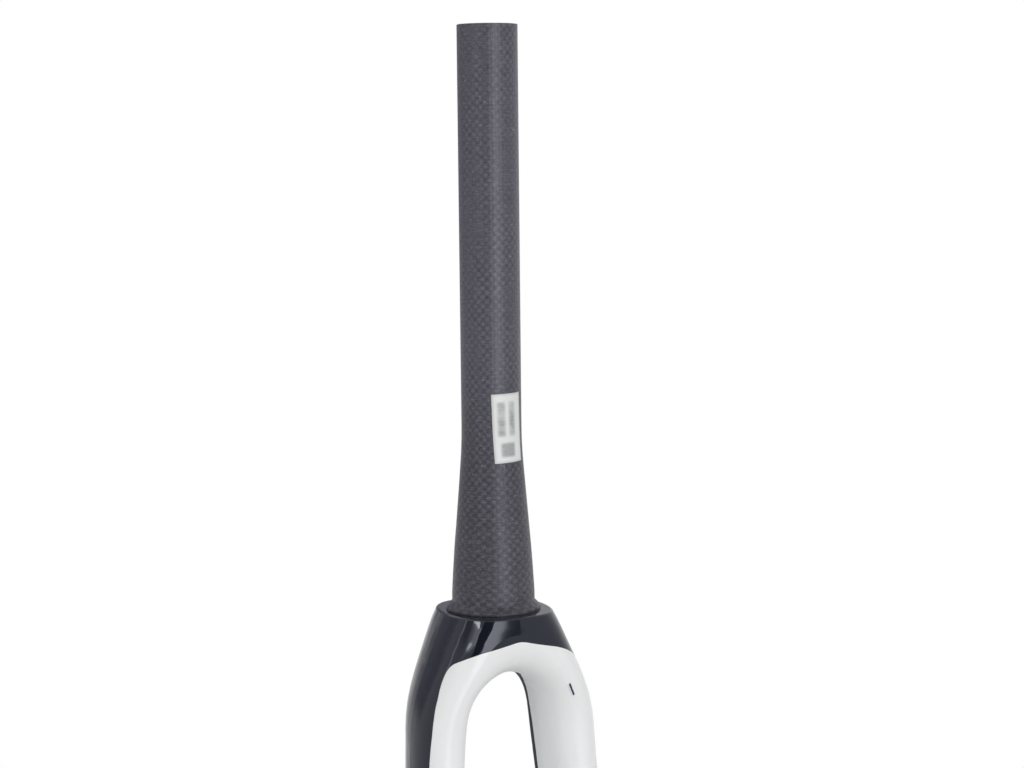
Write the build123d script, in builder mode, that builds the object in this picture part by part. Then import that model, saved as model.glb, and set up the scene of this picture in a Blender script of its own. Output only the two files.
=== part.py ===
"""Rigid bicycle fork for a disc brake: carbon steerer, crown and blades in one moulding.

Millimetres. The origin is on the steerer's axis in the plane of the crown's top.
+Z runs up the steerer, -Y is forwards and +X is the rider's left, the brake side.
"""

import os

from build123d import *

# Steerer, measured up from the crown's top plane
steerer_length = 277.0
steerer_radius = 14.3
steerer_bore_radius = 11.4
steerer_mouth_chamfer = 0.2
taper_top = 79.0
taper_knee = 25.0
taper_knee_radius = 18.8
taper_top_blend = 220.0
taper_knee_blend = 700.0
seat_radius = 19.8
seat_top = 8.0
seat_blend = 1.2

# Bearing cone at the steerer's foot
cone_radius = 22.6
cone_lip = 1.2
cone_lip_round = 0.3

# Hollow inside the steerer's taper
lower_wall = 4.2
hollow_bottom = 1.0
hollow_corner = 4.0

# Crown
crown_edge_round = 1.3
crown_dome = 14.0
crown_half_depth = 29.7
crown_centre_y = 0.1

# Wheel arch between the blades
arch_crest = 29.65
arch_spring = 63.0
gap_half_width = 22.0

# Blades
shoulder_half_width = 46.9
blade_top_half_depth = 21.0
blade_top_y = -4.9
blade_toe = 0.045
blade_top_lean = 0.06
blade_end_lean = 0.17
blade_end_half_thickness = 8.0
blade_end_half_depth = 13.5

# How far the surfaces run straight before they turn, and how full their ovals are
shoulder_run = 14.0
blade_run = 80.0
ellipse_fullness = 0.5523
crown_fullness = 0.598

# How much fuller the ovals are on the wheel's side
inner_fill = 1.257

# Axle and dropouts
axle_drop = 375.0
axle_offset = 45.0
blade_end_height = 32.0
hub_spacing = 100.0
axle_radius = 6.0
axle_clearance = 0.05
axle_thread_drill_radius = 5.25
axle_head_radius = 9.0
axle_head_seat_depth = 2.5
dropout_radius = 14.0
dropout_thickness = 12.0
dropout_half_depth = 11.0
dropout_run = 12.0
dropout_fullness = 0.75
edge_break = 0.3
spigot_wall = 2.6
socket_roof = 3.0
socket_end_gap = 1.0
bond_gap = 0.15

# Flat brake mount on the back of the left blade
brake_lower_height = 51.0
brake_hole_spacing = 70.0
brake_pad_margin = 9.0
brake_pad_width = 15.0
brake_pad_lift = 1.0
brake_pad_depth = 9.0
insert_across_flats = 8.0
insert_length = 12.0
insert_drill_radius = 2.1
insert_thread_depth = 10.0

# Slot in the front of the left blade
slot_drop = 36.7
slot_length = 7.0
slot_width = 1.0
slot_depth = 3.0
slot_inboard = 2.2

# Paper label on the steerer
label_bottom = 71.85
label_height = 32.7
label_width = 15.45
label_thickness = 0.08
label_middle = 9.1
label_tilt = 1.7


def mixed(start, end, share):
    return start + (end - start) * share


def oval(inner, outer, centre_y, half_depth, fullness, toe=0.0, fill=inner_fill):
    """Control points of one closed oval: four quarters of four points, front first.

    inner and outer are the (x, z) ends of its width. Its depth runs along Y, toe leans its back
    towards the wheel, and fill makes the two quarters beside the wheel fuller.
    """
    middle = Vector((inner[0] + outer[0]) / 2, centre_y, (inner[1] + outer[1]) / 2)
    across = Vector((outer[0] - inner[0]) / 2, 0, (outer[1] - inner[1]) / 2)
    along = Vector(-toe * half_depth, half_depth, 0)
    spokes = (-across, -along, across, along)
    quarters = []
    for start, end, more in zip(spokes, spokes[1:] + spokes[:1], (fill, 1, 1, fill)):
        quarters.append(
            (
                middle + start,
                middle + start + end * fullness * more,
                middle + end + start * fullness * more,
                middle + end,
            )
        )
    return quarters


def blade_width(drop):
    """Inner x, outer x and half depth of the evenly tapered blade at a drop below the crown's top."""
    share = (drop - arch_spring) / (blade_end_drop - arch_spring)
    top_middle = (shoulder_half_width + gap_half_width) / 2
    end_middle = hub_spacing / 2 + dropout_thickness - blade_end_half_thickness
    middle = mixed(top_middle, end_middle, share)
    top_half_thickness = (shoulder_half_width - gap_half_width) / 2
    half_thickness = mixed(top_half_thickness, blade_end_half_thickness, share)
    half_depth = mixed(blade_top_half_depth, blade_end_half_depth, share)
    return middle - half_thickness, middle + half_thickness, half_depth


def blade_oval(drop, centre_y, toe=0.0):
    inner_x, outer_x, half_depth = blade_width(drop)
    return oval((inner_x, -drop), (outer_x, -drop), centre_y, half_depth, ellipse_fullness, toe)


def blade_stations():
    """Ovals that steer a blade's surface, from its end up to the arch's springing line."""
    return [
        blade_oval(blade_end_drop, blade_end_y),
        blade_oval(blade_end_drop - blade_run, blade_end_y + blade_end_lean * blade_run),
        blade_oval(arch_spring + blade_run, blade_top_y - blade_top_lean * blade_run, blade_toe),
        blade_oval(arch_spring, blade_top_y, blade_toe),
    ]


def crown_stations():
    """Ovals that steer half the crown, from the springing line up to the fork's middle plane."""
    rise = arch_spring - arch_crest
    shoulder_y = blade_top_y + blade_top_lean * shoulder_run
    return [
        blade_oval(arch_spring, blade_top_y, blade_toe),
        blade_oval(arch_spring - shoulder_run, shoulder_y, blade_toe),
        oval(
            (0.954 * gap_half_width, 0.7 * rise - arch_spring),
            (0.997 * shoulder_half_width, -0.603 * arch_spring),
            mixed(blade_top_y, crown_centre_y, 0.213),
            mixed(blade_top_half_depth, crown_half_depth, 0.24),
            ellipse_fullness,
        ),
        oval(
            (0.827 * gap_half_width, 0.855 * rise - arch_spring),
            (0.78 * shoulder_half_width, -0.318 * arch_spring),
            mixed(blade_top_y, crown_centre_y, 0.366),
            mixed(blade_top_half_depth, crown_half_depth, 0.531),
            ellipse_fullness,
        ),
        oval(
            (0.42 * gap_half_width, 0.948 * rise - arch_spring),
            (0.449 * shoulder_half_width, -0.081 * arch_spring),
            mixed(blade_top_y, crown_centre_y, 0.74),
            mixed(blade_top_half_depth, crown_half_depth, 0.862),
            ellipse_fullness,
        ),
        oval(
            (0.216 * gap_half_width, -arch_crest),
            (0.724 * shoulder_half_width, crown_dome),
            crown_centre_y,
            crown_half_depth,
            crown_fullness,
        ),
        oval(
            (0.0, -arch_crest),
            (0.0, crown_dome),
            crown_centre_y,
            crown_half_depth,
            crown_fullness,
        ),
    ]


def dropout_stations():
    """Ovals that carry the blade's surface on from its end down to the axle."""
    return [
        blade_oval(blade_end_drop, blade_end_y),
        blade_oval(blade_end_drop + dropout_run, blade_end_y - blade_end_lean * dropout_run),
        oval(
            (hub_spacing / 2, -axle_drop),
            (hub_spacing / 2 + dropout_thickness, -axle_drop),
            -axle_offset,
            dropout_half_depth,
            dropout_fullness,
            fill=1,
        ),
    ]


def skin(stations):
    """Four curved faces, one for each quarter of the ovals."""
    return [
        Face.make_bezier_surface([list(quarters[place]) for quarters in stations])
        for place in range(4)
    ]


def end_face(quarters):
    return Face(Wire([Bezier(*quarter, mode=Mode.PRIVATE) for quarter in quarters]))


def steerer_line(extra):
    """The steerer's outline from its mouth down to the crown, standing extra proud of its surface."""
    seat_bottom = cone_lip + cone_radius - seat_radius
    return FilletPolyline(
        (steerer_radius + extra, steerer_length),
        (steerer_radius + extra, taper_top),
        (taper_knee_radius + extra, taper_knee),
        (seat_radius + extra, seat_top),
        (seat_radius + extra, seat_bottom),
        (cone_radius + extra, cone_lip),
        (cone_radius + extra, -crown_edge_round),
        radius=(taper_top_blend, taper_knee_blend, 0, seat_blend, cone_lip_round),
        mode=Mode.PRIVATE,
    )


def at_axle(edge):
    """Is this round edge the rim of a hole around the axle?"""
    middle = edge.arc_center
    off_axis = abs(middle.Y + axle_offset) + abs(middle.Z + axle_drop)
    return edge.is_closed and off_axis < 0.01 and edge.radius < axle_head_radius - 0.01


def share_at(line, height):
    """Share of a rising line at which it reaches a height."""
    low, high = 0.0, 1.0
    for _ in range(50):
        share = (low + high) / 2
        if (line @ share).Z < height:
            low = share
        else:
            high = share
    return low


os.makedirs("parts", exist_ok=True)

# Sizes that follow from those above
blade_end_drop = axle_drop - blade_end_height
blade_end_y = blade_end_lean * blade_end_height - axle_offset
brake_centre_height = brake_lower_height + brake_hole_spacing / 2
brake_pad_length = brake_hole_spacing + 2 * brake_pad_margin
socket_depth = brake_lower_height - blade_end_height - insert_across_flats * 0.58 - socket_roof
spigot_length = socket_depth - socket_end_gap

# Outlines of the steerer and of the label around it
outside = steerer_line(0)
paper_front = steerer_line(label_thickness)

# Surfaces of the moulding
blade_ovals = blade_stations()
crown_ovals = crown_stations()
half_skin = skin(blade_ovals) + skin(crown_ovals) + [end_face(blade_ovals[0])]
moulding = Solid(Shell(half_skin + [face.mirror(Plane.YZ) for face in half_skin]))

# Socket axis at the left blade's end
blade_end_middle = (blade_ovals[0][0][0] + blade_ovals[0][2][0]) / 2
blade_next_middle = (blade_ovals[1][0][0] + blade_ovals[1][2][0]) / 2
spigot_up = blade_next_middle - blade_end_middle
blade_end_plane = Plane(blade_end_middle)

dropout_ovals = dropout_stations()
axle_place = Vector(hub_spacing / 2, -axle_offset, -axle_drop)
axle_plane = Plane(axle_place, x_dir=(0, 1, 0), z_dir=(1, 0, 0))

# Plane of the brake pad, square to the back line of the left blade
rear_line = Bezier(*[quarters[3][0] for quarters in blade_ovals], mode=Mode.PRIVATE)
pad_share = share_at(rear_line, brake_centre_height - axle_drop)
pad_up = rear_line % pad_share
pad_out = pad_up.cross(Vector(1, 0, 0)).normalized()
pad_plane = Plane(rear_line @ pad_share + pad_out * brake_pad_lift, x_dir=pad_up, z_dir=pad_out)

# Plane of the slot, square to the front line of the left shoulder
front_line = Bezier(*[quarters[1][0] for quarters in crown_ovals], mode=Mode.PRIVATE)
slot_up = front_line % share_at(front_line, -slot_drop)
slot_out = (Vector(0, -1, 0) + slot_up * slot_up.Y).normalized()
slot_plane = Plane(front_line @ share_at(front_line, -slot_drop), x_dir=slot_up, z_dir=slot_out)

# Plane a quarter turn before the label's middle, and the tilted plane that faces its middle
label_out = Vector(0, -1, 0).rotate(Axis.Z, label_middle)
label_side = label_out.rotate(Axis.Z, -90)
label_plane = Plane((0, 0, 0), x_dir=label_side, z_dir=label_side.cross(Vector(0, 0, 1)))
label_place = (0, 0, label_bottom + label_height / 2)
label_window = Plane(label_place, x_dir=Vector(0, 0, 1).cross(label_out), z_dir=label_out)

with BuildPart() as socket:
    with BuildSketch(blade_end_plane):
        Ellipse(blade_end_half_thickness - spigot_wall, blade_end_half_depth - spigot_wall)
    extrude(amount=socket_depth, dir=spigot_up)

with BuildPart() as fork_body:
    # Crown and blades
    add(moulding)
    split(bisect_by=Plane.XY, keep=Keep.BOTTOM)
    fillet(fork_body.edges().filter_by_position(Axis.Z, -0.01, 0.01), radius=crown_edge_round)
    # Steerer
    with BuildSketch(Plane.XZ):
        with BuildLine():
            add(outside)
            Polyline(outside @ 1, (0, -crown_edge_round), (0, steerer_length), outside @ 0)
        make_face()
    revolve(axis=Axis.Z)
    # Pad for the brake
    with BuildSketch(pad_plane):
        SlotOverall(brake_pad_length, brake_pad_width)
    extrude(amount=-brake_pad_depth)
    # Hollow steerer, closed by the crown's floor
    with BuildSketch(Plane.XZ):
        with BuildLine():
            inside = FilletPolyline(
                (steerer_bore_radius, steerer_length),
                (steerer_bore_radius, taper_top),
                (taper_knee_radius - lower_wall, taper_knee),
                (seat_radius - lower_wall, seat_top),
                (seat_radius - lower_wall, hollow_bottom),
                (0, hollow_bottom),
                radius=(taper_top_blend, taper_knee_blend, 0, hollow_corner),
            )
            Polyline(inside @ 1, (0, steerer_length), inside @ 0)
        make_face()
    revolve(axis=Axis.Z, mode=Mode.SUBTRACT)
    mouth = fork_body.edges().group_by(Axis.Z)[-1]
    chamfer(mouth, length=steerer_mouth_chamfer)
    # Sockets for the dropouts
    add(socket.part, mode=Mode.SUBTRACT)
    add(mirror(socket.part, about=Plane.YZ, mode=Mode.PRIVATE), mode=Mode.SUBTRACT)
    # Pockets for the brake inserts
    with BuildSketch(pad_plane):
        with GridLocations(brake_hole_spacing, 0, 2, 1):
            RegularPolygon(insert_across_flats / 2, 6, major_radius=False)
    extrude(amount=-insert_length, mode=Mode.SUBTRACT)
    # Slot in the left shoulder
    with BuildSketch(slot_plane):
        with Locations((0, slot_inboard)):
            SlotOverall(slot_length, slot_width)
    extrude(amount=slot_depth, both=True, mode=Mode.SUBTRACT)

with BuildPart() as dropout_blank:
    # Neck that carries the blade on, and the spigot bonded into it
    add(Solid(Shell(skin(dropout_ovals) + [end_face(dropout_ovals[0]), end_face(dropout_ovals[-1])])))
    with BuildSketch(blade_end_plane):
        Ellipse(
            blade_end_half_thickness - spigot_wall - bond_gap,
            blade_end_half_depth - spigot_wall - bond_gap,
        )
    extrude(amount=spigot_length, dir=spigot_up)
    # Boss around the axle, cut flat where the hub and the axle's head bear on it
    with BuildSketch(axle_plane):
        Circle(dropout_radius)
    extrude(amount=dropout_thickness)
    with BuildSketch(axle_plane, axle_plane.offset(2 * dropout_thickness)):
        Circle(dropout_radius)
    extrude(amount=-dropout_thickness, mode=Mode.SUBTRACT)

with BuildPart() as left_dropout:
    add(dropout_blank.part)
    with BuildSketch(axle_plane):
        Circle(axle_radius + axle_clearance)
    extrude(amount=dropout_thickness, mode=Mode.SUBTRACT)
    with BuildSketch(axle_plane.offset(dropout_thickness)):
        Circle(axle_head_radius)
    extrude(amount=-axle_head_seat_depth, mode=Mode.SUBTRACT)
    # Broken edges around the hole
    chamfer(left_dropout.edges().filter_by(GeomType.CIRCLE).filter_by(at_axle), length=edge_break)

with BuildPart() as right_dropout:
    add(mirror(dropout_blank.part, about=Plane.YZ, mode=Mode.PRIVATE))
    with BuildSketch(axle_plane):
        Circle(axle_thread_drill_radius)
    extrude(amount=-2 * hub_spacing, mode=Mode.SUBTRACT)
    # Broken edges around the hole
    chamfer(right_dropout.edges().filter_by(GeomType.CIRCLE).filter_by(at_axle), length=edge_break)

with BuildPart() as upper_brake_insert:
    with BuildSketch(pad_plane):
        with Locations((brake_hole_spacing / 2, 0)):
            RegularPolygon(insert_across_flats / 2, 6, major_radius=False)
    extrude(amount=-insert_length)
    with BuildSketch(pad_plane):
        with Locations((brake_hole_spacing / 2, 0)):
            Circle(insert_drill_radius)
    extrude(amount=-insert_thread_depth, mode=Mode.SUBTRACT)

with BuildPart() as lower_brake_insert:
    with BuildSketch(pad_plane):
        with Locations((-brake_hole_spacing / 2, 0)):
            RegularPolygon(insert_across_flats / 2, 6, major_radius=False)
    extrude(amount=-insert_length)
    with BuildSketch(pad_plane):
        with Locations((-brake_hole_spacing / 2, 0)):
            Circle(insert_drill_radius)
    extrude(amount=-insert_thread_depth, mode=Mode.SUBTRACT)

with BuildPart() as steerer_label:
    with BuildSketch(label_plane):
        with BuildLine():
            add(paper_front)
            Polyline(paper_front @ 1, (0, -crown_edge_round), (0, steerer_length), paper_front @ 0)
        make_face()
        with BuildLine():
            add(outside)
            Polyline(outside @ 1, (0, -crown_edge_round), (0, steerer_length), outside @ 0)
        make_face(mode=Mode.SUBTRACT)
    revolve(axis=Axis.Z, revolution_arc=180)
    with BuildSketch(label_window):
        Rectangle(label_width, label_height, rotation=label_tilt)
    extrude(amount=2 * cone_radius, mode=Mode.INTERSECT)

nodes = {
    "fork_body": fork_body.part,
    "left_dropout": left_dropout.part,
    "right_dropout": right_dropout.part,
    "upper_brake_insert": upper_brake_insert.part,
    "lower_brake_insert": lower_brake_insert.part,
    "steerer_label": steerer_label.part,
}
for name, shape in nodes.items():
    shape.label = name
    export_step(shape, f"parts/{name}.step")
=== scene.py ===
import math

import bpy
from bpy.props import FloatProperty, FloatVectorProperty, IntProperty, PointerProperty
from mathutils import Matrix, Quaternion, Vector


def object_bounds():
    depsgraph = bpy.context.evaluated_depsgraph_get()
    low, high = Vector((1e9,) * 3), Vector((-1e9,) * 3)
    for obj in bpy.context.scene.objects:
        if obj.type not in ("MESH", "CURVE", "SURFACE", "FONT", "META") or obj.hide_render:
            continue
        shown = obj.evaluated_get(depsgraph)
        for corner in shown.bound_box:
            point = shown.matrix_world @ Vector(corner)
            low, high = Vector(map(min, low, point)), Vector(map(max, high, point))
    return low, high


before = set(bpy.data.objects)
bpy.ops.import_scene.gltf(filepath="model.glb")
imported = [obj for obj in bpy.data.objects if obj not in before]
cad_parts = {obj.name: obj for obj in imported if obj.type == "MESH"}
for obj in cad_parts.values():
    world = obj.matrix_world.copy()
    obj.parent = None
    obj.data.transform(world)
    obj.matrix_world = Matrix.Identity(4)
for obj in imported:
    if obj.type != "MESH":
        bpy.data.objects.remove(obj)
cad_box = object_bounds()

bl_info = {
    "name": "Rigid bicycle fork",
    "version": (1, 0, 0),
    "blender": (4, 5, 0),
    "location": "View3D > Sidebar > Fork",
    "description": "Finishes of a carbon bicycle fork and the studio around it",
    "category": "Object",
}

# All lengths are in metres, in the frame of the CAD model

# Upper edge of the white: its height by the distance from the middle plane
CHEVRON_LINE = (
    (0.0, -0.01135),
    (0.002, -0.01155),
    (0.005, -0.0122),
    (0.010, -0.0133),
    (0.015, -0.0143),
    (0.019, -0.0151),
    (0.023, -0.0164),
    (0.0268, -0.0181),
    (0.031, -0.0206),
    (0.045, -0.0320),
)
# How much the chevron drops towards the rider's left
CHEVRON_TILT = -0.022
# Outer edge of the white: its distance from the middle plane by the height
FLANK_LINE = (
    (-0.343, 0.0596),
    (-0.100, 0.0461),
    (-0.063, 0.0435),
    (-0.0551, 0.0427),
    (-0.0458, 0.0414),
    (-0.0349, 0.0385),
    (-0.0259, 0.0350),
    (-0.0202, 0.0317),
    (-0.0100, 0.0250),
)
# Rear edge of the white inside the blades: its depth by the height
REAR_LINE = (
    (-0.343, -0.0330),
    (-0.250, -0.0172),
    (-0.150, -0.0045),
    (-0.100, 0.0002),
    (-0.0668, 0.0026),
    (-0.0589, 0.0036),
    (-0.0532, 0.0048),
    (-0.0473, 0.0055),
    (-0.0409, 0.0043),
    (-0.0300, -0.0125),
    (-0.0200, -0.0200),
)
PAINT_CORNER = 0.0015
PAINT_EDGE = 0.00008
# How far inside the outer edge the blades count as the wheel's side
WHEEL_SIDE_INSET = -0.012
WHEEL_SIDE_TOP = -0.026

# Steerer: where its bare weave starts, the height below which its taper shows and is painted
# darker as shade, and its cut end
WEAVE_FOOT = 0.00012
TAPER_TOP = 0.095
MOUTH_HEIGHT = 0.2768
MOUTH_RADIUS = 0.0142
PLY = 0.00035

# Slot in the left shoulder: its point on the front line, and the ways out of it and up along it
SLOT_PLACE = Vector((0.0300003, -0.0273389, -0.0367))
SLOT_OUT = Vector((0.0408, -0.994941, -0.091807))
SLOT_UP = Vector((-0.404057, -0.100465, 0.9092))
SLOT_INBOARD = 0.0022
SLOT_HALF_WIDTH = 0.0007
SLOT_HALF_LENGTH = 0.0038
SLOT_PAINT_DEPTH = -0.0007
# Band beside the slot that gets painted bluish shade, and the low end where the painted shade
# inside is darkest
LIP_BAND = (0.0026, 0.0036)
LIP_HALF_LENGTH = 0.0031
SLOT_LOW_END = -0.0012

# Dropouts: the axle's line, and the machined faces around it
AXLE_Y = -0.045
AXLE_Z = -0.375
HUB_FACE = 0.05
HUB_FACE_RADIUS = 0.01395
HUB_FACE_REACH = 0.00006
COUNTERBORE_RADIUS = 0.0091
TURNING_PITCH = 0.0003

# Label: its turn from straight ahead, the height of its middle, its lean, size and rows
LABEL_TURN = math.radians(9.1)
LABEL_HEIGHT = 0.0882
LABEL_LEAN = math.radians(1.7)
LABEL_WIDTH = 0.01545
LABEL_LENGTH = 0.0327
LABEL_ROWS = 19.0

# Second tones of the finishes
BLACK_CLOUD = (0.0085, 0.0100, 0.0178)
WHITE_CLOUD = (0.75, 0.757, 0.76)
TOW_PALE = (0.100, 0.096, 0.118)
TOW_GAP = (0.018, 0.017, 0.023)
# Painted shade on the taper, with dots of painted highlight
DOT_SHADE = (0.016, 0.014, 0.020)
DOT_HIGHLIGHT = (0.071, 0.067, 0.083)
THREAD_PALE = (0.135, 0.130, 0.152)
THREAD_DARK = (0.022, 0.021, 0.027)
# Pale speckles are painted glints
SPECKLE_GLINT = (0.150, 0.145, 0.165)
SPECKLE_DARK = (0.018, 0.017, 0.022)
DUST = (0.32, 0.32, 0.33)
PLY_DARK = (0.020, 0.020, 0.022)
PLY_PALE = (0.050, 0.050, 0.054)
# Painted shade inside the slot, lighter at its top and darker at its low end, and painted bluish
# shade beside it
SLOT_SHADE_HIGH = (0.15, 0.15, 0.148)
SLOT_SHADE_LOW = (0.060, 0.068, 0.090)
SLOT_LIP_SHADE = (0.46, 0.53, 0.72)
ANODISED_BLOTCH = (0.028, 0.028, 0.031)
STEEL_DARK = (0.40, 0.40, 0.41)
PAPER_FIBRE = (0.62, 0.63, 0.625)
PAPER_RIM = (0.53, 0.54, 0.535)
# Painted bluish tint on the lacquer's reflections, standing in for bluish light
BLUISH_REFLECTION_TINT = (0.86, 0.88, 1.0)
LACQUER_IOR = 1.45

# Studio: the point that lamps and cards face, and brightness over the width of two panels
CROWN = Vector((0.0, 0.0, 0.02))
KEY_FADE = ((0.0, 1.0), (0.40, 0.97), (0.66, 0.86), (0.79, 0.40), (0.90, 0.10), (1.0, 0.03))
STRIP_FADE = ((0.0, 0.0), (0.25, 0.35), (0.53, 0.90), (1.0, 1.0))
KEY_AIM = (6.75, 7.0)
KEY_SIZE = (0.815, 1.18)
BLACK_CARD = (0.01, 0.01, 0.01)
SOFT_CARD = (0.14, 0.14)
FLOOR_RADIUS = 4.0
FLOOR_DROP = 0.0005
FLOOR_FADE = 0.58
FLOOR_FADE_SOFT = 0.36
FLOOR_SEEN = (0.86, 0.86, 0.86)
FLOOR_BOUNCE = (0.45, 0.45, 0.45)
WHITE = (1.0, 1.0, 1.0, 1.0)
SENSOR_WIDTH = 36.0


class ForkFinishes(bpy.types.PropertyGroup):
    """Colours and surface scales of the fork."""

    black_lacquer: FloatVectorProperty(
        name="Black lacquer",
        description="Colour of the gloss black on the crown and the outer blades",
        subtype="COLOR",
        default=(0.0075, 0.0088, 0.0162),
    )
    white_lacquer: FloatVectorProperty(
        name="White lacquer",
        description="Colour of the gloss white on the front and inner blades",
        subtype="COLOR",
        default=(0.78, 0.785, 0.785),
    )
    # Painted sheen: the tows that run up get a lit colour, those that run around a shaded one
    lit_tow_along: FloatVectorProperty(
        name="Tows along",
        description="Colour of the carbon tows that run up the steerer",
        subtype="COLOR",
        default=(0.094, 0.088, 0.111),
    )
    # Shaded colour of the same carbon, painted sheen like the lit tows that run up
    shaded_tow_around: FloatVectorProperty(
        name="Tows around",
        description="Colour of the carbon tows that run around the steerer",
        subtype="COLOR",
        default=(0.030, 0.029, 0.039),
    )
    tows_round: IntProperty(
        name="Tows around the tube",
        description="Number of weave squares around the steerer, an even number",
        default=46,
    )
    tow_height: FloatProperty(
        name="Weave square height",
        description="Height of one weave square",
        subtype="DISTANCE",
        default=0.0021,
    )
    anodised: FloatVectorProperty(
        name="Anodised alloy",
        description="Colour of the dropouts",
        subtype="COLOR",
        default=(0.018, 0.018, 0.020),
    )
    bare_alloy: FloatVectorProperty(
        name="Bare alloy",
        description="Colour of the machined faces around the axle",
        subtype="COLOR",
        default=(0.62, 0.62, 0.63),
    )
    insert_steel: FloatVectorProperty(
        name="Insert steel",
        description="Colour of the brake inserts",
        subtype="COLOR",
        default=(0.50, 0.50, 0.51),
    )
    label_paper: FloatVectorProperty(
        name="Label paper",
        description="Colour of the label",
        subtype="COLOR",
        default=(0.68, 0.69, 0.685),
    )
    label_ink: FloatVectorProperty(
        name="Label fields",
        description="Colour of the grey fields on the label",
        subtype="COLOR",
        default=(0.24, 0.245, 0.255),
    )


class ForkStudio(bpy.types.PropertyGroup):
    """Camera and light."""

    azimuth: FloatProperty(
        name="Camera azimuth",
        description="Angle of the camera from straight ahead towards the rider's right",
        subtype="ANGLE",
        default=math.radians(26.1),
    )
    pitch: FloatProperty(
        name="Camera pitch",
        description="How far the camera looks down",
        subtype="ANGLE",
        default=math.radians(6.04),
    )
    roll: FloatProperty(
        name="Camera roll",
        description="How far the fork's top leans to the left in the picture",
        subtype="ANGLE",
        default=math.radians(0.59),
    )
    distance: FloatProperty(
        name="Camera distance",
        description="Level distance from the camera to the steerer's axis",
        subtype="DISTANCE",
        default=1.087,
    )
    height: FloatProperty(
        name="Camera height",
        description="Height of the camera over the crown's top",
        subtype="DISTANCE",
        default=0.2228,
    )
    side: FloatProperty(
        name="Camera side step",
        description="How far the camera stands to the right of the steerer's axis",
        subtype="DISTANCE",
        default=0.00997,
    )
    lens: FloatProperty(
        name="Focal length",
        description="Focal length on a sensor 36 mm wide, in millimetres",
        default=80.86,
    )
    fill: FloatProperty(
        name="Fill light",
        description="Strength of the light from all around",
        default=0.55,
    )


def fill_curve(node, places):
    """Puts a float curve through places between (0, 0) and (1, 1)."""
    curve = node.mapping.curves[0]
    curve.points[0].location = places[0]
    curve.points[1].location = places[-1]
    for place in places[1:-1]:
        curve.points.new(*place)
    node.mapping.update()


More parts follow.
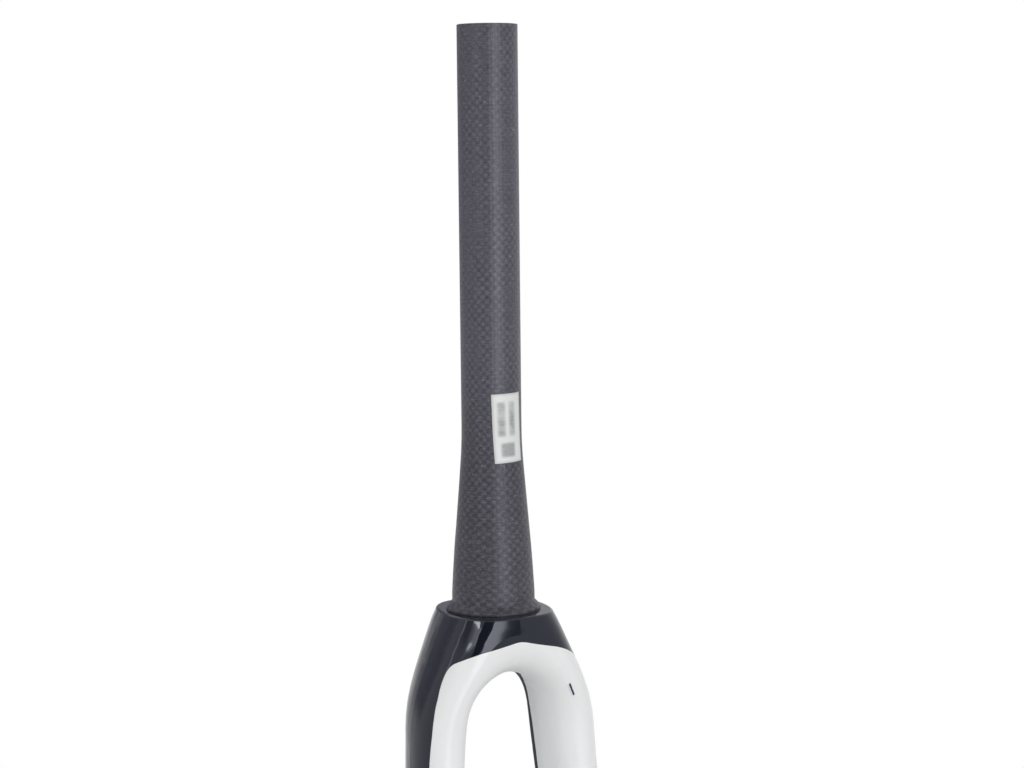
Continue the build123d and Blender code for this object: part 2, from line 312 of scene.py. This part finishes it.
class Finish:
    """Shader nodes of one finish, added by short calls."""

    def __init__(self, name):
        self.material = bpy.data.materials.new(name)
        self.material.use_nodes = True
        self.tree = self.material.node_tree
        self.tree.nodes.clear()
        self.shader = self.add_node("BsdfPrincipled")
        self.out = self.add_node("OutputMaterial")
        self.show(self.shader)
        self.place = self.add_node("TexCoord").outputs["Object"]
        parts = self.add_node("SeparateXYZ")
        self.put(parts.inputs[0], self.place)
        self.x, self.y, self.z = parts.outputs

    def add_node(self, kind):
        return self.tree.nodes.new("ShaderNode" + kind)

    def show(self, shader):
        """Makes a shader node the surface."""
        self.put(self.out.inputs["Surface"], shader.outputs[0])

    def blend(self, share, first, second):
        """Makes a blend of two shader nodes the surface."""
        node = self.add_node("MixShader")
        self.put(node.inputs[0], share)
        self.put(node.inputs[1], first.outputs[0])
        self.put(node.inputs[2], second.outputs[0])
        self.show(node)

    def put(self, socket, value):
        """Links a socket to a socket, or sets it to a number or colour."""
        if isinstance(value, bpy.types.NodeSocket):
            self.tree.links.new(value, socket)
        elif hasattr(value, "__len__") and len(value) == 3 and socket.type == "RGBA":
            socket.default_value = (*value, 1.0)
        else:
            socket.default_value = value

    def math(self, operation, *values):
        node = self.add_node("Math")
        node.operation = operation
        for socket, value in zip(node.inputs, values):
            self.put(socket, value)
        return node.outputs[0]

    def add(self, *values):
        total = values[0]
        for value in values[1:]:
            total = self.math("ADD", total, value)
        return total

    def times(self, *values):
        total = values[0]
        for value in values[1:]:
            total = self.math("MULTIPLY", total, value)
        return total

    def minus(self, a, b):
        return self.math("SUBTRACT", a, b)

    def scale(self, value, factor, base):
        """The value times a factor, on top of a base."""
        return self.math("MULTIPLY_ADD", value, factor, base)

    def size(self, value):
        return self.math("ABSOLUTE", value)

    def length(self, a, b):
        return self.math("SQRT", self.add(self.times(a, a), self.times(b, b)))

    def along(self, place, direction):
        """Distance along a direction from a place."""
        total = self.add(
            self.times(self.x, direction.x),
            self.times(self.y, direction.y),
            self.times(self.z, direction.z),
        )
        return self.minus(total, place.dot(direction))

    def step(self, value, soft):
        """0 where value is under -soft, 1 where it is over soft."""
        node = self.add_node("MapRange")
        node.interpolation_type = "SMOOTHSTEP"
        self.put(node.inputs["Value"], value)
        node.inputs["From Min"].default_value = -soft
        node.inputs["From Max"].default_value = soft
        return node.outputs["Result"]

    def over(self, value, level, soft):
        """1 where value is over the level."""
        return self.step(self.minus(value, level), soft)

    def under(self, value, level, soft):
        """1 where value is under the level."""
        return self.step(self.minus(level, value), soft)

    def band(self, value, low, high, soft):
        """1 where value lies between low and high."""
        return self.times(self.over(value, low, soft), self.under(value, high, soft))

    def line(self, value, points):
        """A smooth line through (value, height) points."""
        node = self.add_node("FloatCurve")
        values, heights = zip(*points)
        low_value, low_height = min(values), min(heights)
        span, rise = max(values) - low_value, max(heights) - low_height
        fill_curve(node, [((v - low_value) / span, (h - low_height) / rise) for v, h in points])
        self.put(node.inputs["Value"], self.times(self.minus(value, low_value), 1 / span))
        return self.scale(node.outputs[0], rise, low_height)

    def mix(self, share, a, b):
        """A colour between two colours."""
        node = self.add_node("Mix")
        node.data_type = "RGBA"
        self.put(node.inputs[0], share)
        self.put(node.inputs[6], a)
        self.put(node.inputs[7], b)
        return node.outputs[2]

    def tint(self, base, mask, share, colour):
        """The base with a share of a colour where the mask is 1."""
        return self.mix(self.times(mask, share), base, colour)

    def mix_value(self, share, a, b):
        """A number between two numbers."""
        node = self.add_node("Mix")
        self.put(node.inputs[0], share)
        self.put(node.inputs[2], a)
        self.put(node.inputs[3], b)
        return node.outputs[0]

    def vector(self, *values):
        node = self.add_node("CombineXYZ")
        for socket, value in zip(node.inputs, values):
            self.put(socket, value)
        return node.outputs[0]

    def noise(self, scale, detail=2.0, vector=None):
        node = self.add_node("TexNoise")
        node.inputs["Scale"].default_value = scale
        node.inputs["Detail"].default_value = detail
        self.put(node.inputs["Vector"], vector or self.place)
        return node.outputs["Fac"]

    def stretched(self, level, upright):
        """Noise with its own scale across and up the tube."""
        place = self.vector(
            self.times(self.x, level), self.times(self.y, level), self.times(self.z, upright)
        )
        return self.noise(1.0, 1.0, place)

    def bump(self, height, strength, distance):
        node = self.add_node("Bump")
        self.put(node.inputs["Height"], height)
        self.put(node.inputs["Strength"], strength)
        node.inputs["Distance"].default_value = distance
        self.put(self.shader.inputs["Normal"], node.outputs["Normal"])

    def colour(self, value):
        self.put(self.shader.inputs["Base Color"], value)

    def roughness(self, value):
        self.put(self.shader.inputs["Roughness"], value)


def wear(node_name, material):
    """Gives a CAD node its finish."""
    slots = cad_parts[node_name].data.materials
    slots.clear()
    slots.append(material)


def white_field(f, across, flank):
    """1 under the chevron, inside the outer edge and in front of the rear edge."""
    chevron = f.add(f.line(across, CHEVRON_LINE), f.times(f.x, CHEVRON_TILT))
    field = f.math("SMOOTH_MIN", f.minus(chevron, f.z), f.minus(flank, across), PAINT_CORNER)
    field = f.math("MINIMUM", field, f.minus(f.line(f.z, REAR_LINE), f.y))
    return f.step(field, PAINT_EDGE)


def round_tow(f, place):
    """Rounded section of a tow across its width."""
    return f.math("SQRT", f.math("MAXIMUM", f.minus(1.0, f.times(place, place, 3.6)), 0.0))


def steerer_weave(f, looks):
    """Colour, roughness and height of the bare weave; the colour holds painted sheen, glints and
    shade.
    """
    turn = f.math("ARCTAN2", f.y, f.x)
    u = f.times(turn, looks.tows_round / (2 * math.pi))
    v = f.times(f.z, 1 / looks.tow_height)
    column, row = f.math("FLOOR", u), f.math("FLOOR", v)

    # Each square is a tow that passes over the other way's tows
    fu = f.minus(f.math("FRACT", u), 0.5)
    fv = f.minus(f.math("FRACT", v), 0.5)
    rise_u = f.math("COSINE", f.times(fu, math.pi))
    rise_v = f.math("COSINE", f.times(fv, math.pi))
    along = f.add(f.times(round_tow(f, fu), 0.55), f.times(rise_v, 0.45))
    around = f.add(f.times(round_tow(f, fv), 0.55), f.times(rise_u, 0.45))
    tow = f.mix_value(f.math("FLOORED_MODULO", f.add(column, row), 2.0), along, around)
    chance_node = f.add_node("TexWhiteNoise")
    f.put(chance_node.inputs["Vector"], f.vector(column, row))
    chance = chance_node.outputs["Value"]

    # Soft check of the two tows, one in a lit colour and one in a shaded colour as painted sheen,
    # plainer in long patches, and on the taper darker painted shade with dots of painted
    # highlight
    check = f.times(f.math("SINE", f.times(u, math.pi)), f.math("SINE", f.times(v, math.pi)))
    patches = f.over(f.stretched(level=170.0, upright=24.0), level=0.5, soft=0.17)
    plain = f.scale(patches, 0.85, 0.32)
    dots = f.math("POWER", f.scale(check, 0.5, 0.5), 1.8)
    weave = f.mix(f.scale(f.times(check, plain), 0.5, 0.5), looks.shaded_tow_around, looks.lit_tow_along)
    weave = f.tint(weave, chance, 0.22, TOW_PALE)
    weave = f.tint(weave, f.under(tow, level=0.55, soft=0.25), 0.25, TOW_GAP)
    # Below the taper's top the weave is painted darker as shade, with dots of painted highlight
    shaded_taper = f.under(f.z, TAPER_TOP, soft=0.035)
    shaded_dotted_weave = f.mix(f.times(dots, f.scale(plain, 0.5, 0.5)), DOT_SHADE, DOT_HIGHLIGHT)
    weave = f.tint(weave, shaded_taper, 0.9, shaded_dotted_weave)

    # Fine threads, speckles whose pale ones are painted glints, more of them on the taper, and a
    # little dust
    thread = f.stretched(level=260.0, upright=1700.0)
    weave = f.tint(weave, f.over(thread, level=0.6, soft=0.12), 0.28, THREAD_PALE)
    weave = f.tint(weave, f.under(thread, level=0.42, soft=0.12), 0.24, THREAD_DARK)
    speckle = f.noise(1500.0, 1.0)
    glint = f.scale(shaded_taper, 0.16, 0.17)
    weave = f.tint(weave, f.over(speckle, level=0.62, soft=0.12), glint, SPECKLE_GLINT)
    weave = f.tint(weave, f.under(speckle, level=0.42, soft=0.12), 0.3, SPECKLE_DARK)
    weave = f.tint(weave, f.over(f.noise(700.0, 0.0), level=0.84, soft=0.02), 0.35, DUST)

    satin = f.scale(shaded_taper, 0.05, f.scale(chance, 0.08, 0.375))
    return weave, satin, f.scale(thread, 0.3, tow)


def cut_end(f):
    """Where the tube's cut end and inside are, and the colour of its plies."""
    radius = f.length(f.x, f.y)
    mouth = f.times(
        f.over(f.z, MOUTH_HEIGHT, soft=0.0001), f.under(radius, MOUTH_RADIUS, soft=0.0001)
    )
    plies = f.math("SINE", f.times(radius, 2 * math.pi / PLY))
    return mouth, f.mix(f.scale(plies, 0.5, 0.5), PLY_DARK, PLY_PALE)


def shade_slot(f, lacquer):
    """Painted bluish shade on a lip beside the slot in the left shoulder, and its inside painted
    dark as shade, lighter at the top and darker at the low end.
    """
    depth = f.along(SLOT_PLACE, SLOT_OUT)
    side = f.along(SLOT_PLACE, SLOT_OUT.cross(SLOT_UP))
    rise = f.along(SLOT_PLACE, SLOT_UP)
    slot = f.times(
        f.under(depth, SLOT_PAINT_DEPTH, soft=0.0001),
        f.under(f.size(f.minus(side, SLOT_INBOARD)), SLOT_HALF_WIDTH, soft=0.00005),
        f.under(f.size(rise), SLOT_HALF_LENGTH, soft=0.0001),
    )
    lip_shade = f.times(
        f.band(side, *LIP_BAND, soft=0.0003), f.under(f.size(rise), LIP_HALF_LENGTH, soft=0.0005)
    )
    lacquer = f.tint(lacquer, lip_shade, 0.5, SLOT_LIP_SHADE)
    low_end = f.under(rise, SLOT_LOW_END, soft=0.0012)
    return f.mix(slot, lacquer, f.mix(low_end, SLOT_SHADE_HIGH, SLOT_SHADE_LOW))


def paint_moulding(looks):
    """Bare weave on the steerer, black and white lacquer on the crown and blades."""
    f = Finish("lacquered_carbon")
    across = f.size(f.x)
    flank = f.line(f.z, FLANK_LINE)
    white = white_field(f, across, flank)
    weave, satin, weave_height = steerer_weave(f, looks)
    bare = f.over(f.z, WEAVE_FOOT, soft=0.00004)
    mouth, plies = cut_end(f)

    cloud = f.noise(55.0, 3.0)
    black = f.tint(looks.black_lacquer, cloud, 0.5, BLACK_CLOUD)
    pale = f.tint(looks.white_lacquer, cloud, 0.5, WHITE_CLOUD)
    lacquer = shade_slot(f, f.mix(white, black, pale))
    f.colour(f.mix(mouth, f.mix(bare, lacquer, weave), plies))

    # The black is glossiest outside, the white softer, the wheel's side dull
    wheel_side = f.times(
        f.under(f.z, WHEEL_SIDE_TOP, soft=0.004),
        f.under(across, f.add(flank, WHEEL_SIDE_INSET), soft=0.003),
        f.minus(1.0, white),
    )
    gloss = f.mix_value(white, f.scale(cloud, 0.04, 0.045), f.scale(cloud, 0.06, 0.36))
    gloss = f.mix_value(wheel_side, gloss, 0.75)
    f.roughness(f.mix_value(bare, gloss, satin))
    lacquer_peel = f.times(f.noise(420.0, 1.0), 0.02)
    f.bump(f.mix_value(bare, lacquer_peel, weave_height), strength=0.35, distance=0.00025)
    f.put(f.shader.inputs["IOR"], LACQUER_IOR)
    # The lacquer's reflections get a painted bluish tint
    f.put(f.shader.inputs["Specular Tint"], BLUISH_REFLECTION_TINT)
    return f.material


def anodise_dropouts(looks):
    """Satin black forging with machined faces around the axle."""
    f = Finish("anodised_alloy")
    radius = f.length(f.minus(f.y, AXLE_Y), f.minus(f.z, AXLE_Z))
    off_face = f.size(f.minus(f.size(f.x), HUB_FACE))
    hub_face = f.times(
        f.under(off_face, HUB_FACE_REACH, soft=0.00003),
        f.under(radius, HUB_FACE_RADIUS, soft=0.0001),
    )
    bore = f.under(radius, COUNTERBORE_RADIUS, soft=0.00005)
    machined = f.math("MAXIMUM", hub_face, bore)
    grain = f.noise(2600.0, 2.0)
    black = f.tint(looks.anodised, f.noise(90.0, 3.0), 0.6, ANODISED_BLOTCH)
    f.colour(f.mix(machined, black, looks.bare_alloy))
    f.put(f.shader.inputs["Metallic"], f.scale(machined, 0.7, 0.3))
    f.roughness(f.mix_value(machined, f.scale(grain, 0.16, 0.34), 0.28))
    rings = f.math("SINE", f.times(radius, 2 * math.pi / TURNING_PITCH))
    f.bump(f.mix_value(machined, grain, f.times(rings, 0.4)), strength=0.18, distance=0.00008)
    return f.material


def turn_inserts(looks):
    """Turned steel with a fine grain."""
    f = Finish("insert_steel")
    grain = f.noise(1500.0, 2.0)
    f.colour(f.mix(grain, looks.insert_steel, STEEL_DARK))
    f.put(f.shader.inputs["Metallic"], 1.0)
    f.roughness(f.scale(grain, 0.15, 0.25))
    f.bump(grain, strength=0.1, distance=0.00005)
    return f.material


def print_label(looks):
    """White paper with soft grey fields."""
    f = Finish("label_paper")

    # Shares of the label's width and length, from its lower left corner
    turn = f.math("ARCTAN2", f.x, f.times(f.y, -1.0))
    flat = f.times(f.math("SINE", f.minus(turn, LABEL_TURN)), f.length(f.x, f.y))
    up = f.minus(f.z, LABEL_HEIGHT)
    lean, upright = math.sin(LABEL_LEAN), math.cos(LABEL_LEAN)
    sideways = f.add(f.times(flat, upright), f.times(up, lean))
    upwards = f.minus(f.times(up, upright), f.times(flat, lean))
    width = f.scale(sideways, 1 / LABEL_WIDTH, 0.5)
    rise = f.scale(upwards, 1 / LABEL_LENGTH, 0.5)

    # Two columns of faint rows over one square field
    rows = f.band(f.math("FRACT", f.times(rise, LABEL_ROWS)), 0.2, 0.8, soft=0.2)
    first = f.band(width, 0.150, 0.385, soft=0.075)
    second = f.band(width, 0.525, 0.735, soft=0.075)
    cloud = f.over(f.noise(260.0, 1.0), level=0.5, soft=0.2)
    columns = f.times(
        f.band(rise, 0.385, 0.875, soft=0.035),
        f.scale(rows, 0.12, 0.88),
        f.math("MAXIMUM", first, second),
        f.scale(cloud, 0.4, 0.6),
    )
    speck = f.over(f.noise(1700.0, 1.0), level=0.47, soft=0.10)
    square = f.times(
        f.band(rise, 0.085, 0.285, soft=0.03),
        f.band(width, 0.220, 0.700, soft=0.07),
        f.scale(speck, 0.25, 0.75),
    )
    ink = f.math("MINIMUM", f.add(f.times(columns, 0.9), f.times(square, 0.9)), 1.0)

    fibre = f.noise(900.0, 3.0)
    paper = f.tint(looks.label_paper, fibre, 0.3, PAPER_FIBRE)
    margin = f.times(f.band(width, 0.05, 0.95, soft=0.04), f.band(rise, 0.025, 0.975, soft=0.02))
    paper = f.mix(margin, PAPER_RIM, paper)
    f.colour(f.mix(ink, paper, looks.label_ink))
    f.roughness(f.scale(fibre, 0.1, 0.45))
    f.bump(fibre, strength=0.08, distance=0.00004)
    return f.material


class FORK_OT_moulding(bpy.types.Operator):
    """Finish the carbon moulding"""

    bl_idname = "fork.moulding"
    bl_label = "Moulding"

    def execute(self, context):
        wear("fork_body", paint_moulding(context.scene.fork_finishes))
        return {"FINISHED"}


class FORK_OT_dropouts(bpy.types.Operator):
    """Finish both dropouts"""

    bl_idname = "fork.dropouts"
    bl_label = "Dropouts"

    def execute(self, context):
        finish = anodise_dropouts(context.scene.fork_finishes)
        wear("left_dropout", finish)
        wear("right_dropout", finish)
        return {"FINISHED"}


class FORK_OT_inserts(bpy.types.Operator):
    """Finish the brake inserts"""

    bl_idname = "fork.inserts"
    bl_label = "Brake inserts"

    def execute(self, context):
        finish = turn_inserts(context.scene.fork_finishes)
        wear("upper_brake_insert", finish)
        wear("lower_brake_insert", finish)
        return {"FINISHED"}


class FORK_OT_label(bpy.types.Operator):
    """Finish the steerer's label"""

    bl_idname = "fork.label"
    bl_label = "Label"

    def execute(self, context):
        wear("steerer_label", print_label(context.scene.fork_finishes))
        return {"FINISHED"}


def set_camera(studio):
    """Stands the camera where the photo was taken from."""
    azimuth = studio.azimuth
    away = Vector((math.sin(azimuth), math.cos(azimuth), 0.0))
    right = Vector((math.cos(azimuth), -math.sin(azimuth), 0.0))
    up = Vector((0.0, 0.0, 1.0))
    forward = away * math.cos(studio.pitch) - up * math.sin(studio.pitch)
    level_up = away * math.sin(studio.pitch) + up * math.cos(studio.pitch)
    lean, upright = math.sin(studio.roll), math.cos(studio.roll)
    rolled_right = right * upright - level_up * lean
    rolled_up = right * lean + level_up * upright
    data = bpy.data.cameras.new("photo_camera")
    data.sensor_fit = "HORIZONTAL"
    data.sensor_width = SENSOR_WIDTH
    data.lens = studio.lens
    data.clip_start = 0.01
    camera = bpy.data.objects.new("photo_camera", data)
    bpy.context.scene.collection.objects.link(camera)
    turn = Matrix((rolled_right, rolled_up, -forward)).transposed().to_4x4()
    place = right * studio.side - away * studio.distance + up * studio.height
    camera.matrix_world = Matrix.Translation(place) @ turn
    bpy.context.scene.camera = camera


def direction(aim):
    """Way from the crown to an azimuth, counted towards the rider's left, and an elevation."""
    azimuth, elevation = map(math.radians, aim)
    level = math.cos(elevation)
    return Vector((math.sin(azimuth) * level, -math.cos(azimuth) * level, math.sin(elevation)))


def softbox(name, aim, distance, size, power, fade=None, gloss=True, matt=True):
    """A soft panel that shines at the crown, with its brightness over its width if it fades."""
    data = bpy.data.lights.new(name, "AREA")
    data.shape = "RECTANGLE"
    data.size, data.size_y = size
    data.energy = power
    if fade:
        data.use_nodes = True
        tree = data.node_tree
        glow = next(node for node in tree.nodes if node.type == "EMISSION")
        panel = tree.nodes.new("ShaderNodeNewGeometry")
        parts = tree.nodes.new("ShaderNodeSeparateXYZ")
        fall = tree.nodes.new("ShaderNodeFloatCurve")
        fill_curve(fall, fade)
        tree.links.new(panel.outputs["Parametric"], parts.inputs[0])
        tree.links.new(parts.outputs[0], fall.inputs["Value"])
        tree.links.new(fall.outputs[0], glow.inputs["Strength"])
    lamp = bpy.data.objects.new(name, data)
    bpy.context.scene.collection.objects.link(lamp)
    back = direction(aim)
    lamp.location = CROWN + back * distance
    lamp.rotation_euler = back.to_track_quat("Z", "Y").to_euler()
    lamp.visible_glossy = gloss
    lamp.visible_diffuse = matt


def card(name, aim, distance, size, shade, lean=0.0, soft=None):
    """A card out of the picture that the gloss reflects, with soft sides and ends if asked."""
    back = direction(aim)
    turn = back.to_track_quat("Z", "Y") @ Quaternion((0.0, 0.0, 1.0), math.radians(lean))
    bpy.ops.mesh.primitive_plane_add(
        size=1.0, location=CROWN + back * distance, rotation=turn.to_euler()
    )
    flag = bpy.context.active_object
    flag.name = name
    flag.scale = (*size, 1.0)
    flag.visible_camera = False
    f = Finish(name)
    f.colour(shade)
    f.roughness(0.9)
    if soft:
        side, end = soft
        inside = f.times(
            f.under(f.size(f.x), 0.5 - side, soft=side), f.under(f.size(f.y), 0.5 - end, soft=end)
        )
        f.blend(inside, f.add_node("BsdfTransparent"), f.shader)
    flag.data.materials.append(f.material)


def pale_floor():
    """White floor that keeps the fork's shadow and runs out into the white background."""
    f = Finish("pale_floor")
    f.tree.nodes.remove(f.shader)
    rays = f.add_node("LightPath")
    seen = f.math("MAXIMUM", rays.outputs["Is Camera Ray"], rays.outputs["Is Glossy Ray"])
    seen = f.math("MAXIMUM", seen, rays.outputs["Is Transmission Ray"])
    far = f.over(f.length(f.x, f.y), FLOOR_FADE, FLOOR_FADE_SOFT)
    matt = f.add_node("BsdfDiffuse")
    f.put(matt.inputs["Color"], f.mix(seen, FLOOR_BOUNCE, FLOOR_SEEN))
    glow = f.add_node("Emission")
    f.put(glow.inputs["Color"], WHITE)
    f.blend(f.times(seen, far), matt, glow)
    return f.material


def white_world(studio):
    """White where it is seen or mirrored, and a softer fill for the light."""
    world = bpy.data.worlds.new("white_studio")
    bpy.context.scene.world = world
    world.use_nodes = True
    tree = world.node_tree
    tree.nodes.clear()
    rays = tree.nodes.new("ShaderNodeLightPath")
    seen = rays.outputs["Is Camera Ray"]
    for ray in ("Is Transmission Ray", "Is Glossy Ray"):
        either = tree.nodes.new("ShaderNodeMath")
        either.operation = "MAXIMUM"
        tree.links.new(seen, either.inputs[0])
        tree.links.new(rays.outputs[ray], either.inputs[1])
        seen = either.outputs[0]
    blend = tree.nodes.new("ShaderNodeMixShader")
    tree.links.new(seen, blend.inputs[0])
    for socket, strength in zip(blend.inputs[1:], (studio.fill, 1.0)):
        glow = tree.nodes.new("ShaderNodeBackground")
        glow.inputs["Color"].default_value = WHITE
        glow.inputs["Strength"].default_value = strength
        tree.links.new(glow.outputs[0], socket)
    out = tree.nodes.new("ShaderNodeOutputWorld")
    tree.links.new(blend.outputs[0], out.inputs["Surface"])


class FORK_OT_stage(bpy.types.Operator):
    """Set the floor, light and camera"""

    bl_idname = "fork.stage"
    bl_label = "Studio"

    def execute(self, context):
        studio = context.scene.fork_studio
        bpy.ops.object.select_all(action="DESELECT")
        bpy.ops.mesh.primitive_circle_add(
            vertices=96,
            radius=FLOOR_RADIUS,
            fill_type="NGON",
            location=(0.0, 0.0, cad_box[0][2] - FLOOR_DROP),
        )
        floor = context.active_object
        floor.name = "floor"
        floor.data.materials.append(pale_floor())
        white_world(studio)

        # Aims in degrees, distances and sizes in metres, power in watts
        softbox("key", KEY_AIM, 1.2, KEY_SIZE, 6.5, fade=KEY_FADE)
        softbox("key_gloss", KEY_AIM, 1.21, KEY_SIZE, 9.8, fade=KEY_FADE, matt=False)
        card("key_back", KEY_AIM, 1.23, (0.83, 1.20), BLACK_CARD)
        softbox("left_fill", (-48.0, 0.0), 1.0, (0.8, 0.9), 5.1, gloss=False)
        softbox("right_fill", (62.0, 5.0), 1.3, (0.9, 1.0), 5.6, gloss=False)
        softbox("strip", (-65.0, 30.2), 1.6, (1.0, 0.464), 3.15, fade=STRIP_FADE, matt=False)
        softbox("strip_head", (-71.0, 39.6), 1.6, (0.55, 0.10), 2.0, matt=False)
        softbox("strip_foot", (-71.0, 24.2), 1.6, (0.30, 0.045), 0.27, matt=False)
        softbox("edge_strip", (-109.0, 27.0), 1.6, (0.06, 0.6), 0.22)
        card("strip_flag", (-98.0, 31.0), 1.75, (0.85, 0.6), (0.98, 0.95, 0.92), soft=SOFT_CARD)
        card(
            "camera_flag", (-28.0, 24.0), 1.1, (0.73, 1.5), BLACK_CARD,
            lean=-24.0, soft=(0.035, 0.17),
        )
        card("back_flag", (172.0, 14.0), 1.5, (1.5, 1.1), (0.54, 0.55, 0.66), soft=SOFT_CARD)
        card("left_flag", (-146.0, 14.0), 1.5, (1.3, 1.2), (0.79, 0.80, 0.87), soft=SOFT_CARD)
        set_camera(studio)
        context.scene.view_settings.view_transform = "Standard"
        return {"FINISHED"}


class FORK_PT_panel(bpy.types.Panel):
    """Steps that finish the fork"""

    bl_idname = "FORK_PT_panel"
    bl_label = "Bicycle fork"
    bl_space_type = "VIEW_3D"
    bl_region_type = "UI"
    bl_category = "Fork"

    def draw(self, context):
        for step in STEPS:
            self.layout.operator(step.bl_idname)
        for group in (context.scene.fork_finishes, context.scene.fork_studio):
            for name in group.__annotations__:
                self.layout.prop(group, name)


STEPS = (FORK_OT_moulding, FORK_OT_dropouts, FORK_OT_inserts, FORK_OT_label, FORK_OT_stage)
CLASSES = (ForkFinishes, ForkStudio, *STEPS, FORK_PT_panel)


def register():
    for item in CLASSES:
        bpy.utils.register_class(item)
    bpy.types.Scene.fork_finishes = PointerProperty(type=ForkFinishes)
    bpy.types.Scene.fork_studio = PointerProperty(type=ForkStudio)


def unregister():
    del bpy.types.Scene.fork_studio
    del bpy.types.Scene.fork_finishes
    for item in reversed(CLASSES):
        bpy.utils.unregister_class(item)


def main():
    register()
    bpy.ops.fork.moulding()
    bpy.ops.fork.dropouts()
    bpy.ops.fork.inserts()
    bpy.ops.fork.label()
    bpy.ops.fork.stage()


if __name__ == "__main__":
    main()
